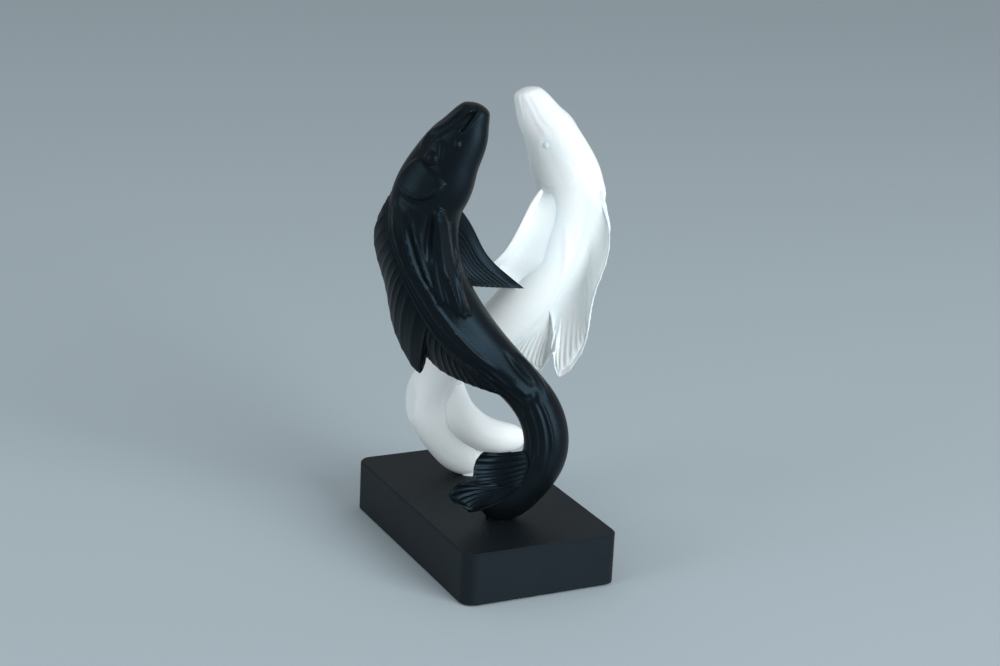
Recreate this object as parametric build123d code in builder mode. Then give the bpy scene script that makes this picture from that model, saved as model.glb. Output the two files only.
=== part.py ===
from build123d import *
import math
import os

# A pair of leaping fish on a block. Each fish is one print, and the white one is the black one turned half
# a turn about the upright axis between them. Z is up, and the underside of the pad is at zero.

# Base block
base_length = 100.0
base_width = 60.0
base_height = 19.0
base_corner_radius = 5.0
base_edge_chamfer = 0.6

# Non-slip pad, let into the underside of the block
pad_thickness = 1.2
pad_recess = 0.6
pad_margin = 4.0
pad_clearance = 0.2
pad_corner_radius = 3.0

# One fish: its height, how far its back bulges out from the upright axis, how far it stands in front of that
# axis, its depth from back to belly and its width from flank to flank
fish_height = 150.0
fish_reach = 42.0
fish_stand_off = 22.0
body_depth = 25.0
body_width = 19.0
pair_turn = 63.3

# Foot of each fish, printed with it, and its socket in the block
foot_length = 7.0
foot_width = 8.0
foot_depth = 8.0
foot_corner_radius = 2.0
foot_sink = 4.0
foot_clearance = 0.15
foot_end_clearance = 0.2
foot_across_share = 0.12
foot_front_share = 0.99

# Fastening from below: screw, washer and brass insert
screw_diameter = 3.0
screw_length = 10.0
screw_head_diameter = 5.5
screw_head_height = 3.0
screw_key_flats = 2.5
screw_key_depth = 1.6
screw_clearance = 0.4
washer_diameter = 7.0
washer_thickness = 0.5
counterbore_clearance = 1.0
counterbore_floor = 4.0
insert_diameter = 4.4
insert_length = 5.0
insert_bore_clearance = 0.1
insert_tip_room = 1.0

# Fins, each a thin web with thicker rays
web_thickness = 1.0
ray_thickness = 2.0
edge_thickness_share = 0.55
fin_root_sink = 3.0
side_fin_hollow = 1.5
tail_web_thickness = 1.4
tail_ray_thickness = 2.2
tail_hollow = 3.0
tail_root_sink = 1.0
tail_opening = 14.0

# Head
eye_diameter = 6.6
mouth_gap = 0.8
mouth_depth = 1.2
patch_sink_share = 0.8

overrun = 1.0

base_bottom = pad_thickness - pad_recess
base_top = base_bottom + base_height
socket_floor = base_top - foot_depth
foot_bottom = socket_floor + foot_end_clearance
washer_seat = socket_floor - counterbore_floor
washer_bottom = washer_seat - washer_thickness
counterbore_diameter = washer_diameter + counterbore_clearance
screw_hole_diameter = screw_diameter + screw_clearance
insert_bore = screw_diameter + insert_bore_clearance
foot_place = Vector(foot_across_share * fish_reach, -foot_front_share * fish_stand_off)
white_turn = pair_turn + 180.0


def spot(across_share, front_share, height_share):
    """A point of the fish from its shares of the reach, the stand-off and the height above the block."""
    return Vector(across_share * fish_reach, -front_share * fish_stand_off, base_top + height_share * fish_height)


def curve(shares):
    """A smooth line through points given as shares."""
    return Spline(*[spot(*share) for share in shares])


def between(first, last, step):
    """The value a step of the way from the first to the last."""
    return first + (last - first) * step


# Body stations from snout to tail: across, front and height of the centre, half depth back to belly as a
# share of the depth, half width as a share of the width, and how far the back rolls to the front in degrees
station_shares = [
    (-0.200, 0.795, 0.9930, 0.110, 0.135, 0),
    (-0.210, 0.793, 0.9800, 0.180, 0.210, -6),
    (-0.238, 0.786, 0.9560, 0.262, 0.290, -12),
    (-0.296, 0.773, 0.9170, 0.354, 0.360, -18),
    (-0.398, 0.765, 0.8700, 0.438, 0.415, -19),
    (-0.493, 0.750, 0.8200, 0.495, 0.455, -18),
    (-0.570, 0.740, 0.7700, 0.505, 0.480, -12),
    (-0.596, 0.727, 0.7190, 0.495, 0.490, -3),
    (-0.533, 0.705, 0.6170, 0.438, 0.495, 16),
    (-0.357, 0.673, 0.5110, 0.412, 0.485, 28),
    (-0.100, 0.664, 0.4180, 0.385, 0.450, 33),
    (0.214, 0.736, 0.3400, 0.318, 0.420, 33),
    (0.457, 0.841, 0.2570, 0.324, 0.400, 30),
    (0.505, 0.936, 0.1670, 0.330, 0.380, 28),
    (0.345, 0.991, 0.0870, 0.340, 0.360, 30),
    (0.120, 1.030, 0.0370, 0.270, 0.320, 38),
    (-0.020, 1.060, 0.0320, 0.130, 0.200, 40),
]

spine = Spline(*[spot(*station[:3]) for station in station_shares])
spine_shares = [spine.param_at_point(spot(*station[:3])) for station in station_shares]

# Back fin, whose rays sweep towards the tail: points of the outline of its two lobes, and the place on the
# spine where the ray that ends there is rooted
front_lobe_rows = [
    ((-0.905, 0.45, 0.752), 0.235),
    ((-1.015, 0.29, 0.668), 0.250),
    ((-0.980, 0.23, 0.590), 0.285),
    ((-0.915, 0.20, 0.530), 0.318),
    ((-0.857, 0.18, 0.450), 0.342),
    ((-0.760, 0.15, 0.375), 0.375),
    ((-0.593, 0.10, 0.311), 0.435),
]
rear_lobe_rows = [
    ((-0.580, 0.22, 0.358), 0.430),
    ((-0.480, 0.30, 0.345), 0.460),
    ((-0.295, 0.46, 0.320), 0.515),
    ((-0.052, 0.73, 0.309), 0.590),
    ((0.125, 0.93, 0.305), 0.655),
]
back_fin_lobes = [(front_lobe_rows, 10), (rear_lobe_rows, 6)]

# Side fin that spreads from the far flank: where it starts and ends, at steps from its root to its free edge
side_fin_shares = [
    ((-0.400, 0.50, 0.765), (-0.360, 0.66, 0.592)),
    ((-0.195, 0.14, 0.679), (-0.285, 0.69, 0.578)),
    ((-0.060, 0.09, 0.611), (-0.245, 0.71, 0.570)),
    ((0.076, 0.07, 0.574), (-0.215, 0.72, 0.565)),
    ((0.252, 0.07, 0.537), (-0.190, 0.72, 0.561)),
]
side_fin_rays = 5

# Side fin that lies against the near flank: place on the spine, the angles round the body between which it
# lies, and how far it stands up
near_fin_rows = [
    (0.205, -112, -140, 0.1),
    (0.240, -100, -150, 1.1),
    (0.300, -89, -148, 1.3),
    (0.360, -76, -134, 1.2),
    (0.415, -62, -108, 1.1),
    (0.462, -62, -80, 0.6),
]
near_fin_rays = 3
near_fin_groove = 0.8

# Gill covers, given the same way
gill_cover_rows = [
    (0.132, -52, -90, 0.0),
    (0.152, -36, -108, 0.5),
    (0.178, -28, -109, 1.0),
    (0.202, -39, -94, 1.2),
    (0.214, -54, -77, 1.2),
]
gill_cover_steps = 3

# Eyes and mouth
eye_place = 0.129
eye_angle = -70
eye_sink_share = 0.86
mouth_corner_place = 0.066

# Tail: the line of its roots, the free edges of its two lobes, and the share of the roots that the upper has
tail_root_shares = [
    (0.329, 1.05, 0.177),
    (0.367, 1.14, 0.157),
    (0.355, 1.20, 0.121),
    (0.314, 1.23, 0.096),
    (0.221, 1.27, 0.073),
    (0.098, 1.32, 0.053),
    (-0.017, 1.36, 0.041),
]
upper_tail_shares = [
    (-0.007, 1.16, 0.175),
    (-0.057, 1.16, 0.159),
    (-0.083, 1.18, 0.140),
    (-0.088, 1.23, 0.124),
    (-0.090, 1.30, 0.107),
]
lower_tail_shares = [
    (-0.090, 1.30, 0.107),
    (-0.145, 1.41, 0.111),
    (-0.221, 1.50, 0.106),
    (-0.279, 1.59, 0.082),
    (-0.195, 1.57, 0.063),
    (-0.079, 1.50, 0.046),
]
tail_facing = Vector(0, -0.86, 0.5)

# Shell that makes the white fish's tail fuller: centre, half width front to back and half height
tail_shell_rows = [
    ((0.345, 0.80, 0.285), 0.16, 0.12),
    ((0.305, 0.84, 0.220), 0.26, 0.19),
    ((0.240, 0.90, 0.162), 0.34, 0.24),
    ((0.060, 0.96, 0.117), 0.34, 0.24),
    ((-0.240, 1.02, 0.100), 0.14, 0.13),
]
tail_lobes = [
    (upper_tail_shares, 0.0, 0.46, 3),
    (lower_tail_shares, 0.46, 1.0, 4),
]


def section_plane(place, roll):
    """The plane square to the spine at a share of its length, with its X axis towards the fish's back."""
    along = spine % place
    level_back = along.cross(Vector(0, -1, 0)).normalized()
    flank = along.cross(level_back)
    angle = math.radians(-roll)
    back = level_back * math.cos(angle) + flank * math.sin(angle)
    return Plane(origin=spine @ place, x_dir=back, z_dir=along)


def mixed(knots, rows, at):
    """Every number of a list of rows, at a place between the knots that they belong to."""
    after = next(index for index, knot in enumerate(knots) if index and (knot >= at or index == len(knots) - 1))
    step = (at - knots[after - 1]) / (knots[after] - knots[after - 1])
    return [between(first, last, step) for first, last in zip(rows[after - 1], rows[after])]


def body_at(place):
    """Section plane, half depth and half width of the body anywhere along the spine."""
    _, _, _, depth_share, width_share, roll = mixed(spine_shares, station_shares, place)
    return section_plane(place, roll), depth_share * body_depth, width_share * body_width


def back_point(place):
    """A point just inside the ridge of the back, where the back fin is rooted."""
    plane, half_depth, _ = body_at(place)
    return plane.origin + plane.x_dir * (half_depth - fin_root_sink)


def blade_plane(root, tip, thick):
    """The plane through a ray and the direction in which the fin is thick, with its X axis along the ray."""
    ray = tip - root
    return Plane(origin=root, x_dir=ray, z_dir=ray.cross(thick)), ray.length


def closed_face(plane, points):
    """A flat face with straight edges, on a plane."""
    with BuildSketch(plane) as sketch:
        with BuildLine():
            Polyline(*points, close=True)
        make_face()
    return sketch.sketch


def ray_face(root, tip, thick, root_half, hollow=0.0):
    """Section of a fin along one ray: a slim blade, bowed by the hollow, that thins to the free edge."""
    plane, length = blade_plane(root, tip, thick)
    upper = []
    lower = []
    for share in (0, 0.5, 1) if hollow else (0, 1):
        half = root_half * between(1, edge_thickness_share, share)
        bow = hollow * 4 * share * (1 - share)
        upper.append((share * length, half - bow))
        lower.insert(0, (share * length, -half - bow))
    return closed_face(plane, upper + lower)


def hollow_face(root, tip, thick):
    """Section along one ray of the room in front of the tail."""
    plane, length = blade_plane(root, tip, thick)
    start = tail_root_sink
    return closed_face(
        plane,
        [(start, 0), (length / 2, -tail_hollow), (length, 0), (length, tail_opening), (start, tail_opening)],
    )


def comb_face(start, end, thick, rays, fade):
    """Section of a fin across its rays: webs and rays by turns along a bowed line."""
    plane, length = blade_plane(start, end, thick)
    upper = []
    lower = []
    for index in range(2 * rays + 1):
        share = index / (2 * rays)
        half = (ray_thickness if index % 2 else web_thickness) / 2 * between(1, edge_thickness_share, fade)
        bow = side_fin_hollow * 4 * share * (1 - share)
        upper.append((share * length, bow + half))
        lower.insert(0, (share * length, bow - half))
    return closed_face(plane, upper + lower)


def patch_face(row, side, steps, groove):
    """Section of a raised patch on a flank, with its ridges and grooves by turns."""
    place, first_angle, last_angle, rise = row
    plane, half_depth, half_width = body_at(place)
    outer = []
    inner = []
    for index in range(2 * steps + 1):
        angle = math.radians(between(first_angle, last_angle, index / (2 * steps))) * side
        height = rise - (0 if index % 2 else groove * min(rise, 1))
        across = half_depth * math.cos(angle)
        out = half_width * math.sin(angle)
        outer.append((across + height * math.cos(angle), out + height * math.sin(angle)))
        inner.insert(0, (across * patch_sink_share, out * patch_sink_share))
    return closed_face(plane, outer + inner)


with BuildPart() as fish:
    # Body, from snout to tail stalk
    for place, (_, _, _, depth_share, width_share, roll) in zip(spine_shares, station_shares):
        with BuildSketch(section_plane(place, roll)):
            Ellipse(depth_share * body_depth, width_share * body_width)
    loft()

    # Gill covers and the fin that lies against the near flank
    for side in (1, -1):
        loft([patch_face(row, side, gill_cover_steps, 0) for row in gill_cover_rows], ruled=True)
    loft([patch_face(row, 1, near_fin_rays, near_fin_groove) for row in near_fin_rows], ruled=True)

    # Eyes
    eye_plane, eye_half_depth, eye_half_width = body_at(eye_place)
    for side in (1, -1):
        eye_across = eye_sink_share * eye_half_depth * math.cos(math.radians(eye_angle))
        eye_out = eye_sink_share * eye_half_width * math.sin(math.radians(eye_angle)) * side
        with Locations(eye_plane.origin + eye_plane.x_dir * eye_across + eye_plane.y_dir * eye_out):
            Sphere(eye_diameter / 2)

    # Mouth, a groove round the front of the snout
    mouth_plane, _, mouth_half_width = body_at(mouth_corner_place)
    snout_half_width = station_shares[0][4] * body_width - mouth_depth
    mouth_length = ((spine @ 0) - mouth_plane.origin).length
    mouth_floor = mouth_length - mouth_depth
    mouth_face = closed_face(
        Plane(origin=mouth_plane.origin, x_dir=(spine @ 0) - mouth_plane.origin, z_dir=mouth_plane.x_dir),
        [
            (0, mouth_half_width),
            (mouth_floor, snout_half_width),
            (mouth_floor, -snout_half_width),
            (0, -mouth_half_width),
            (0, -body_width),
            (mouth_length + overrun, -body_width),
            (mouth_length + overrun, body_width),
            (0, body_width),
        ],
    )
    extrude(mouth_face, amount=mouth_gap / 2, both=True, mode=Mode.SUBTRACT)

    # Back fin
    for lobe_rows, rays in back_fin_lobes:
        outline = curve([point for point, _ in lobe_rows])
        knots = [outline.param_at_point(spot(*point)) for point, _ in lobe_rows]
        faces = []
        for index in range(2 * rays + 1):
            step = index / (2 * rays)
            (place,) = mixed(knots, [(place,) for _, place in lobe_rows], step)
            root = back_point(place)
            tip = outline @ step
            half = (ray_thickness if index % 2 else web_thickness) / 2
            faces.append(ray_face(root, tip, (spine % place).cross(tip - root), half))
        loft(faces, ruled=True)

    # Side fin that spreads from the far flank
    side_starts = [spot(*start) for start, _ in side_fin_shares]
    side_ends = [spot(*end) for _, end in side_fin_shares]
    side_normal = (side_starts[-1] - side_starts[0]).cross(side_ends[-1] - side_starts[0]).normalized()
    faces = []
    for index, (start, end) in enumerate(zip(side_starts, side_ends)):
        faces.append(comb_face(start, end, side_normal, side_fin_rays, index / (len(side_starts) - 1)))
    loft(faces, ruled=True)

    # Tail: the end of the body is hollowed in front of it, then its two lobes are added
    roots = curve(tail_root_shares)
    rays_at = []
    for lobe_shares, first_root, last_root, rays in tail_lobes:
        edge = curve(lobe_shares)
        for index in range(2 * rays + 1):
            step = index / (2 * rays)
            root = roots @ between(first_root, last_root, step)
            tip = edge @ step
            root -= (tip - root).normalized() * tail_root_sink
            rays_at.append((root, tip, index % 2))
    upper_count = 2 * tail_lobes[0][3] + 1
    lobe_rays = [rays_at[:upper_count], rays_at[upper_count:]]
    for lobe in lobe_rays:
        loft([hollow_face(root, tip, tail_facing) for root, tip, _ in lobe], ruled=True, mode=Mode.SUBTRACT)
    for lobe in lobe_rays:
        faces = []
        for root, tip, is_ray in lobe:
            half = (tail_ray_thickness if is_ray else tail_web_thickness) / 2
            faces.append(ray_face(root, tip, tail_facing, half, tail_hollow))
        loft(faces, ruled=True)

    # Flat underside where the fish stands on the block
    with Locations((0, 0, base_top)):
        Box(
            2 * fish_height,
            2 * fish_height,
            fish_height,
            align=(Align.CENTER, Align.CENTER, Align.MAX),
            mode=Mode.SUBTRACT,
        )

    # Foot, with the hole for the insert and some room above it for the screw's end
    with BuildSketch(Plane.XY.offset(foot_bottom)):
        with Locations(foot_place):
            RectangleRounded(foot_length, foot_width, foot_corner_radius)
    extrude(amount=foot_depth - foot_end_clearance + foot_sink)
    with BuildSketch(Plane.XY.offset(foot_bottom)):
        with Locations(foot_place):
            Circle(insert_diameter / 2)
    extrude(amount=insert_length + insert_tip_room, mode=Mode.SUBTRACT)


# Fuller tail of the white fish, on the inside of its curl
with BuildPart() as tail_shell:
    shell_path = curve([centre for centre, _, _ in tail_shell_rows])
    for centre, front_share, height_share in tail_shell_rows:
        place = shell_path.param_at_point(spot(*centre))
        with BuildSketch(Plane(origin=shell_path @ place, x_dir=(0, 1, 0), z_dir=shell_path % place)):
            Ellipse(front_share * body_width, height_share * body_depth)
    loft()

with BuildPart() as black_fish:
    add(fish.part, rotation=(0, 0, pair_turn))
black_fish.part.label = "black_fish"

with BuildPart() as white_fish:
    add(fish.part, rotation=(0, 0, white_turn))
    add(tail_shell.part, rotation=(0, 0, white_turn))
white_fish.part.label = "white_fish"

# Block: a rounded plate with a chamfered top edge, a shallow recess for the pad, two sockets for the feet
# and a counterbored screw hole under each
stands = [Location((0, 0, 0), (0, 0, turn)) * Location(foot_place) for turn in (pair_turn, white_turn)]
with BuildPart() as base_block:
    with BuildSketch(Plane.XY.offset(base_bottom)):
        RectangleRounded(base_length, base_width, base_corner_radius)
    extrude(amount=base_height)
    chamfer(base_block.faces().sort_by(Axis.Z)[-1].edges(), base_edge_chamfer)
    with BuildSketch(Plane.XY.offset(base_bottom)):
        RectangleRounded(base_length - 2 * pad_margin, base_width - 2 * pad_margin, pad_corner_radius)
    extrude(amount=pad_recess, mode=Mode.SUBTRACT)
    with BuildSketch(Plane.XY.offset(socket_floor)):
        with Locations(stands):
            RectangleRounded(
                foot_length + 2 * foot_clearance,
                foot_width + 2 * foot_clearance,
                foot_corner_radius + foot_clearance,
            )
    extrude(amount=foot_depth, mode=Mode.SUBTRACT)
    with BuildSketch(Plane.XY.offset(base_bottom)):
        with Locations(stands):
            Circle(counterbore_diameter / 2)
    extrude(amount=washer_seat - base_bottom, mode=Mode.SUBTRACT)
    with BuildSketch(Plane.XY.offset(washer_seat)):
        with Locations(stands):
            Circle(screw_hole_diameter / 2)
    extrude(amount=counterbore_floor, mode=Mode.SUBTRACT)
base_block.part.label = "base_block"

# Non-slip pad, which also covers the screws
with BuildPart() as base_pad:
    with BuildSketch():
        RectangleRounded(
            base_length - 2 * pad_margin - 2 * pad_clearance,
            base_width - 2 * pad_margin - 2 * pad_clearance,
            pad_corner_radius,
        )
    extrude(amount=pad_thickness)
base_pad.part.label = "base_pad"

os.makedirs("parts", exist_ok=True)
for piece in (base_block, base_pad, black_fish, white_fish):
    export_step(piece.part, f"parts/{piece.part.label}.step")

# Fastening of each fish: brass insert in its foot, socket-head screw from below and washer under the head
for fish_name, stand in zip(("black_fish", "white_fish"), stands):
    with BuildPart() as insert:
        with BuildSketch(Plane.XY.offset(foot_bottom)):
            with Locations(stand):
                Circle(insert_diameter / 2)
                Circle(insert_bore / 2, mode=Mode.SUBTRACT)
        extrude(amount=insert_length)
    insert.part.label = f"{fish_name}_insert"
    export_step(insert.part, f"parts/{fish_name}_insert.step")

    with BuildPart() as washer:
        with BuildSketch(Plane.XY.offset(washer_bottom)):
            with Locations(stand):
                Circle(washer_diameter / 2)
                Circle(screw_hole_diameter / 2, mode=Mode.SUBTRACT)
        extrude(amount=washer_thickness)
    washer.part.label = f"{fish_name}_washer"
    export_step(washer.part, f"parts/{fish_name}_washer.step")

    with BuildPart() as screw:
        with BuildSketch(Plane.XY.offset(washer_bottom)):
            with Locations(stand):
                Circle(screw_diameter / 2)
        extrude(amount=screw_length)
        with BuildSketch(Plane.XY.offset(washer_bottom)):
            with Locations(stand):
                Circle(screw_head_diameter / 2)
        extrude(amount=-screw_head_height)
        with BuildSketch(Plane.XY.offset(washer_bottom - screw_head_height)):
            with Locations(stand):
                RegularPolygon(screw_key_flats / 2, 6, major_radius=False)
        extrude(amount=screw_key_depth, mode=Mode.SUBTRACT)
    screw.part.label = f"{fish_name}_screw"
    export_step(screw.part, f"parts/{fish_name}_screw.step")
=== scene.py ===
import math

import bpy
import numpy as np
from mathutils import Matrix, Vector
from mathutils.bvhtree import BVHTree


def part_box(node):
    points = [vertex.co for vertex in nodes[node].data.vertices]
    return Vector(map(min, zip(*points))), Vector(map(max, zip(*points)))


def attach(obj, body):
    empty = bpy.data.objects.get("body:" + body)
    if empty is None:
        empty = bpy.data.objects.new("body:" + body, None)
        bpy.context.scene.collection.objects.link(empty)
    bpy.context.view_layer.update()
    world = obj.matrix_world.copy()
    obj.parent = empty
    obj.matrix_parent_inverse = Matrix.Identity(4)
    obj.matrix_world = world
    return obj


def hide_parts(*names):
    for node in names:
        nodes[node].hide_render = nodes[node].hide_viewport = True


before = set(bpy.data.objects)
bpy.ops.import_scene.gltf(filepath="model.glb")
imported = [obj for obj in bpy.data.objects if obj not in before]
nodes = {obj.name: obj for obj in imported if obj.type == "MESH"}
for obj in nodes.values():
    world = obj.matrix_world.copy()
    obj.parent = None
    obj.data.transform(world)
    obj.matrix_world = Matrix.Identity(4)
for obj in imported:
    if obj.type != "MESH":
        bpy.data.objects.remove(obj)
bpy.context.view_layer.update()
bpy.ops.object.select_all(action="DESELECT")

# Block. The fish stand on a heavy rectangular block, 100 by 60 by 19 mm, printed in matte black plastic with
# rounded corners and a fine chamfer round its top. It keeps its solid and gets its printed surface here:
# level layer lines up the sides, and the fine grain of the last layer across the top.

mm = 0.001


def linear(colour):
    """The linear colour of an sRGB hex value."""
    shares = [int(colour[start:start + 2], 16) / 255 for start in (1, 3, 5)]
    return [c / 12.92 if c <= 0.04045 else ((c + 0.055) / 1.055) ** 2.4 for c in shares] + [1.0]


def add(tree, kind, sockets=None, links=None, **options):
    """Adds a node, sets its sockets and options, and links the outputs that feed it."""
    node = tree.nodes.new(kind)
    for name, value in options.items():
        setattr(node, name, value)
    for name, value in (sockets or {}).items():
        node.inputs[name].default_value = value
    for name, (source, output) in (links or {}).items():
        tree.links.new(source.outputs[output], node.inputs[name])
    return node


def new_material(name, colour, **sockets):
    """A material with its main shader's plain values set on the shader itself."""
    made = bpy.data.materials.new(name)
    made.use_nodes = True
    shader = made.node_tree.nodes["Principled BSDF"]
    shader.inputs["Base Color"].default_value = linear(colour)
    for socket, value in sockets.items():
        shader.inputs[socket.replace("_", " ")].default_value = value
    return made, made.node_tree, shader


def print_surface(tree, shader, dark, light, layer, grain, strength):
    """The look of a printed plastic: level layers, a fine grain and a slight unevenness of tone. Sockets
    that share a name with others are given by number."""
    place = add(tree, "ShaderNodeTexCoord")
    layers = add(tree, "ShaderNodeTexWave",
                 {"Scale": math.pi / (10 * layer), "Distortion": 0.5, "Detail": 2.0, "Detail Scale": 2.0},
                 {"Vector": (place, "Object")}, bands_direction="Z")
    grit = add(tree, "ShaderNodeTexNoise", {"Scale": 1 / grain, "Detail": 3.0},
               {"Vector": (place, "Object")})
    blotch = add(tree, "ShaderNodeTexNoise", {"Scale": 60.0, "Detail": 2.0}, {"Vector": (place, "Object")})
    relief = add(tree, "ShaderNodeMath", {1: 0.4}, {0: (layers, "Fac"), 2: (grit, "Fac")},
                 operation="MULTIPLY_ADD")
    bump = add(tree, "ShaderNodeBump", {"Strength": strength, "Distance": 0.1 * mm},
               {"Height": (relief, "Value")})
    tone = add(tree, "ShaderNodeMix", {6: linear(dark), 7: linear(light)}, {0: (blotch, "Fac")},
               data_type="RGBA")
    tree.links.new(bump.outputs["Normal"], shader.inputs["Normal"])
    tree.links.new(tone.outputs[2], shader.inputs["Base Color"])


def dress(name, material):
    """Gives a carried-over solid its material."""
    solid = nodes[name]
    solid.data.materials.clear()
    solid.data.materials.append(material)


# Matte black PLA, printed flat on the bed: rough enough to lose reflections. Its layers are 0.2 mm high and
# are drawn at 0.8 mm, since finer ones don't show
block_plastic, tree, shader = new_material("matte_black_PLA_print", "#1b1f22", Roughness=0.55, IOR=1.46,
                                           Specular_IOR_Level=0.35, Specular_Tint=linear("#b4d2e0"))
print_surface(tree, shader, "#0f1316", "#161b1f", 0.8 * mm, 0.9 * mm, 0.5)
dress("base_block", block_plastic)

# Non-slip pad. A 1.2 mm sheet of black rubber is glued into the underside of the block and covers the
# screws. It is cut from sheet, so its faces are plain, dull and slightly grained.

pad_rubber, tree, shader = new_material("black_sheet_rubber", "#1a1a1a", Roughness=0.85, IOR=1.52)
place = add(tree, "ShaderNodeTexCoord")
grain = add(tree, "ShaderNodeTexNoise", {"Scale": 2500.0, "Detail": 4.0}, {"Vector": (place, "Object")})
bump = add(tree, "ShaderNodeBump", {"Strength": 0.4, "Distance": 0.05 * mm}, {"Height": (grain, "Fac")})
tree.links.new(bump.outputs["Normal"], shader.inputs["Normal"])
dress("base_pad", pad_rubber)

# Fastenings, inside the block. Each fish has a brass insert melted into its foot, and a zinc-plated
# socket-head screw with a washer pulls it down from below. All are turned metal, so they show fine rings
# and a soft gloss.

for name, colour, rough, pieces in (
    ("turned_brass", "#b3904f", 0.35, ("black_fish_insert", "white_fish_insert")),
    ("zinc_plated_steel", "#9a9ea3", 0.32,
     ("black_fish_screw", "white_fish_screw", "black_fish_washer", "white_fish_washer")),
):
    metal, tree, shader = new_material(name, colour, Metallic=1.0, Roughness=rough)
    place = add(tree, "ShaderNodeTexCoord")
    rings = add(tree, "ShaderNodeTexWave", {"Scale": 900.0, "Distortion": 1.0},
                {"Vector": (place, "Object")}, bands_direction="Z")
    bump = add(tree, "ShaderNodeBump", {"Strength": 0.2, "Distance": 0.02 * mm}, {"Height": (rings, "Fac")})
    tree.links.new(bump.outputs["Normal"], shader.inputs["Normal"])
    for piece in pieces:
        dress(piece, metal)

# Fish. Each is one sculpted print in satin plastic, about 150 mm high: a fish that leaps up with its body
# in an S, with gill covers, a fin folded along its near flank, one that spreads from the far flank, a
# ribbed back fin in two lobes, and a tail cupped towards the front.

# Skin and fins are grids of points over the same stations as the solid, because a sculpted skin has no form
# that a primitive could start from. All is in mm in the black fish's own frame, seen from the front: X
# across, Y away from the viewer, Z up from the pad.
fish_height, fish_reach, fish_stand_off = 150.0, 42.0, 22.0
body_depth, body_width = 25.0, 19.0
block_top = 19.6
block_clearance = 0.01
pair_turn = 63.3
fin_root_sink = 3.0
side_fin_hollow = 1.5
tail_hollow = 3.0

# Foot, printed with the fish and let into its socket in the block
foot_length, foot_width = 7.0, 8.0
foot_bottom, foot_top = 11.8, 22.0
foot_corner_radius = 2.0
foot_across_share, foot_front_share = 0.12, 0.99

# What the white fish has otherwise: how far its curl bulges, how far its side fin stands off at the root,
# and how much lower the upper lobe of its tail is
white_curl_bulge = 1.5
white_side_fin_shift = 2.2
white_tail_drop = 5.4


def spots(shares):
    """Points from their shares of the reach, the stand-off and the height above the block."""
    return np.array(shares) * [fish_reach, -fish_stand_off, fish_height] + [0, 0, block_top]


def steps_along(points):
    """How far along a line each of its points lies, from 0 to 1."""
    gaps = np.linalg.norm(np.diff(points, axis=0), axis=1)
    return np.concatenate([[0], np.cumsum(gaps)]) / gaps.sum()


def smooth(knots, values, at):
    """Values at places on a smooth line through the knots, a natural cubic spline."""
    knots, values, at = np.asarray(knots, float), np.asarray(values, float), np.asarray(at, float)
    gaps = np.diff(knots)
    grid = np.eye(len(knots))
    bends = np.zeros_like(values)
    for i in range(1, len(knots) - 1):
        grid[i, i - 1:i + 2] = gaps[i - 1], 2 * (gaps[i - 1] + gaps[i]), gaps[i]
        bends[i] = 6 * ((values[i + 1] - values[i]) / gaps[i] - (values[i] - values[i - 1]) / gaps[i - 1])
    bends = np.linalg.solve(grid, bends)
    i = np.clip(np.searchsorted(knots, at) - 1, 0, len(knots) - 2)
    shape = (-1,) + (1,) * (values.ndim - 1)
    gap, before, after = (part.reshape(shape) for part in (gaps[i], at - knots[i], knots[i + 1] - at))
    return ((bends[i] * after ** 3 + bends[i + 1] * before ** 3) / (6 * gap)
            + (values[i] / gap - bends[i] * gap / 6) * after
            + (values[i + 1] / gap - bends[i + 1] * gap / 6) * before)


def line_at(points, at):
    """Points on a smooth line through others, at steps from 0 to 1."""
    return smooth(steps_along(points), points, at)


def unit(vectors):
    """Vectors made one long."""
    return vectors / (np.linalg.norm(vectors, axis=-1, keepdims=True) + 1e-9)


# Body stations from snout to tail: across, front and height of the centre, half depth and half width as
# shares of the body's, and how far the back rolls to the front in degrees
stations = np.array([
    (-0.186, 0.795, 0.9930, 0.104, 0.135, 0),
    (-0.202, 0.793, 0.9800, 0.176, 0.210, -6),
    (-0.238, 0.786, 0.9560, 0.262, 0.290, -12),
    (-0.296, 0.773, 0.9170, 0.354, 0.360, -18),
    (-0.398, 0.765, 0.8700, 0.438, 0.415, -19),
    (-0.493, 0.750, 0.8200, 0.495, 0.455, -18),
    (-0.570, 0.740, 0.7700, 0.505, 0.480, -12),
    (-0.596, 0.727, 0.7190, 0.495, 0.490, -3),
    (-0.533, 0.705, 0.6170, 0.438, 0.495, 16),
    (-0.357, 0.673, 0.5110, 0.412, 0.485, 28),
    (-0.100, 0.664, 0.4180, 0.385, 0.450, 33),
    (0.214, 0.736, 0.3400, 0.318, 0.420, 33),
    (0.457, 0.841, 0.2570, 0.324, 0.400, 30),
    (0.505, 0.936, 0.1670, 0.330, 0.380, 28),
    (0.345, 0.991, 0.0870, 0.340, 0.360, 30),
    (0.120, 1.030, 0.0370, 0.270, 0.320, 38),
    (-0.020, 1.060, 0.0320, 0.130, 0.200, 40),
])
centres = spots(stations[:, :3])
station_places = steps_along(centres)
body_length = np.linalg.norm(np.diff(centres, axis=0), axis=1).sum()

# How far before and behind a place the spine's direction is measured
nudge = 0.002


def body_at(places):
    """Centre, direction to the back, direction to the far flank, half depth and half width at places."""
    centre = smooth(station_places, centres, places)
    after = smooth(station_places, centres, places + nudge)
    before = smooth(station_places, centres, places - nudge)
    ahead = unit(after - before)
    depth, width, roll = smooth(station_places, stations[:, 3:], places).T
    level = unit(np.cross(ahead, [0, -1, 0]))
    flank = np.cross(ahead, level)
    turn = np.radians(-roll)[:, None]
    back = level * np.cos(turn) + flank * np.sin(turn)
    return centre, back, np.cross(ahead, back), depth[:, None] * body_depth, width[:, None] * body_width


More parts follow.
